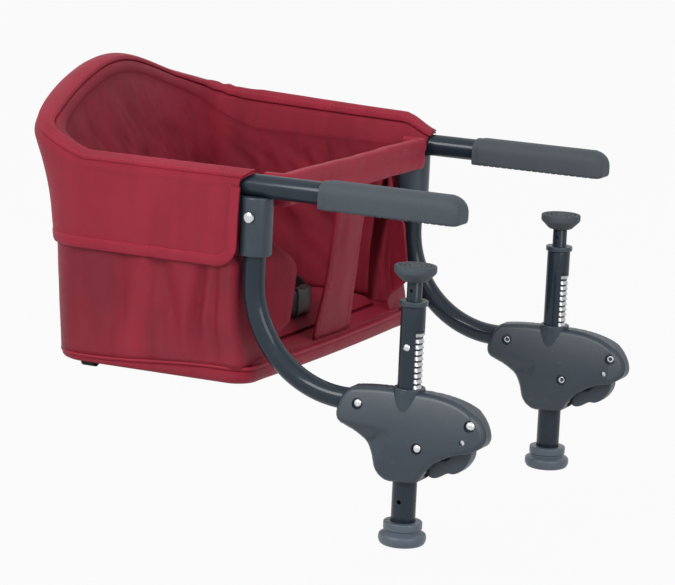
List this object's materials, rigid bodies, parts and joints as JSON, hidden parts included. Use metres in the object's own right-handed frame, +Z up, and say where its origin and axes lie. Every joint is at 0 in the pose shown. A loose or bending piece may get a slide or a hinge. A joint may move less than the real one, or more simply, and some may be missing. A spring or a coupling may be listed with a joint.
{
  "type": "hook-on table chair",
  "caption": "Hook-on child seat: a bent tube frame with a fabric bucket, rubber grips that lie on a table top and ratchet clamp posts with screw pads that press it from below.",
  "frame": {"origin": "in the plane of the grip soles, which is the top face of the table, midway between the arms, on the line where the table's edge lies", "axes": "+X along the arms, the way the child faces, onto the table; +Y to the child's left; +Z up"},
  "size_m": [0.5078, 0.3834, 0.3834],
  "materials": {
    "paint": "satin",
    "rubber": "matte",
    "plastic": "satin",
    "knob_plastic": "satin",
    "zinc": "satin",
    "fabric": "matte",
    "lining": "matte",
    "webbing": "matte"
  },
  "bodies": {
    "frame": {"upper_frame_tube": "paint", "rim_sleeve": "fabric", "back_flap": "fabric", "back_panel": "fabric", "lining": "lining", "seat_base": "fabric", "seat_cushion": "lining", "front_band": "fabric", "crotch_panel": "fabric", "belt_buckle": "webbing", "grip_right": "rubber", "grip_left": "rubber", "arm_socket_right": "plastic", "arm_socket_left": "plastic", "socket_screw_right": "zinc", "socket_screw_left": "zinc", "side_flap_right": "fabric", "side_flap_left": "fabric", "side_panel_right": "fabric", "side_panel_left": "fabric", "waist_strap_right": "webbing", "waist_strap_left": "webbing"},
    "swing_button_right": {"swing_button_right": "zinc"},
    "swing_button_left": {"swing_button_left": "zinc"},
    "lower_arm_right": {"lower_arm_right": "paint", "clamp_shell_outer_right": "plastic", "clamp_shell_inner_right": "plastic", "clamp_rivet_rear_right": "zinc", "clamp_rivet_front_right": "zinc", "clamp_rivet_low_right": "zinc", "trigger_pin_right": "zinc", "trigger_spring_right": "zinc"},
    "lower_arm_left": {"lower_arm_left": "paint", "clamp_shell_outer_left": "plastic", "clamp_shell_inner_left": "plastic", "clamp_rivet_rear_left": "zinc", "clamp_rivet_front_left": "zinc", "clamp_rivet_low_left": "zinc", "trigger_pin_left": "zinc", "trigger_spring_left": "zinc"},
    "trigger_right": {"trigger_right": "plastic"},
    "trigger_left": {"trigger_left": "plastic"},
    "pawl_right": {"pawl_right": "zinc"},
    "pawl_left": {"pawl_left": "zinc"},
    "post_right": {"post_tube_right": "paint", "post_rack_right": "zinc", "rack_rivet_right": "zinc", "post_collar_right": "plastic"},
    "post_left": {"post_tube_left": "paint", "post_rack_left": "zinc", "rack_rivet_left": "zinc", "post_collar_left": "plastic"},
    "knob_right": {"foot_knob_right": "knob_plastic", "drive_screw_right": "zinc"},
    "knob_left": {"foot_knob_left": "knob_plastic", "drive_screw_left": "zinc"},
    "spindle_right": {"spindle_right": "paint", "pressure_pad_right": "rubber"},
    "spindle_left": {"spindle_left": "paint", "pressure_pad_left": "rubber"}
  },
  "joints": [
    {"name": "swing_button_right_press", "type": "slide", "parent": "frame", "child": "swing_button_right", "axis": [0, 1, 0], "range_m": [0, 0.002], "stiffness_N_per_m": 800, "springref_m": -0.001},
    {"name": "swing_button_left_press", "type": "slide", "parent": "frame", "child": "swing_button_left", "axis": [0, -1, 0], "range_m": [0, 0.002], "stiffness_N_per_m": 800, "springref_m": -0.001},
    {"name": "lower_arm_right_swing", "type": "hinge", "parent": "frame", "child": "lower_arm_right", "pos_m": [-0.033, -0.17, -0.03], "axis": [0, 0, 1], "range_deg": [0, 70]},
    {"name": "lower_arm_left_swing", "type": "hinge", "parent": "frame", "child": "lower_arm_left", "pos_m": [-0.033, 0.17, -0.03], "axis": [0, 0, 1], "range_deg": [-70, 0]},
    {"name": "post_right_slide", "type": "slide", "parent": "lower_arm_right", "child": "post_right", "axis": [0, 0, 1], "range_m": [-0.033, 0.03]},
    {"name": "post_left_slide", "type": "slide", "parent": "lower_arm_left", "child": "post_left", "axis": [0, 0, 1], "range_m": [-0.033, 0.03]},
    {"name": "trigger_right_pull", "type": "hinge", "parent": "lower_arm_right", "child": "trigger_right", "pos_m": [0.185, -0.17, -0.188], "axis": [0, 1, 0], "range_deg": [0, 10], "stiffness_Nm_per_rad": 0.6, "springref_deg": -5.73, "deforming": ["trigger_spring_right"]},
    {"name": "trigger_left_pull", "type": "hinge", "parent": "lower_arm_left", "child": "trigger_left", "pos_m": [0.185, 0.17, -0.188], "axis": [0, 1, 0], "range_deg": [0, 10], "stiffness_Nm_per_rad": 0.6, "springref_deg": -5.73, "deforming": ["trigger_spring_left"]},
    {"name": "pawl_right_slide", "type": "slide", "parent": "lower_arm_right", "child": "pawl_right", "axis": [1, 0, 0], "range_m": [0, 0.00279]},
    {"name": "pawl_left_slide", "type": "slide", "parent": "lower_arm_left", "child": "pawl_left", "axis": [1, 0, 0], "range_m": [0, 0.00279]},
    {"name": "knob_right_turn", "type": "hinge", "parent": "post_right", "child": "knob_right", "pos_m": [0.125, -0.17, -0.28], "axis": [0, 0, 1], "range_deg": [-720, 720]},
    {"name": "knob_left_turn", "type": "hinge", "parent": "post_left", "child": "knob_left", "pos_m": [0.125, 0.17, -0.28], "axis": [0, 0, 1], "range_deg": [-720, 720]},
    {"name": "spindle_right_slide", "type": "slide", "parent": "post_right", "child": "spindle_right", "axis": [0, 0, 1], "range_m": [-0.008, 0.008]},
    {"name": "spindle_left_slide", "type": "slide", "parent": "post_left", "child": "spindle_left", "axis": [0, 0, 1], "range_m": [-0.008, 0.008]}
  ],
  "couplings": [
    {"joint": "trigger_right_pull", "follows": "pawl_right_slide", "rad_per_m": 62.5},
    {"joint": "trigger_left_pull", "follows": "pawl_left_slide", "rad_per_m": 62.5},
    {"joint": "knob_right_turn", "follows": "spindle_right_slide", "rad_per_m": 1570.8},
    {"joint": "knob_left_turn", "follows": "spindle_left_slide", "rad_per_m": 1570.8}
  ]
}
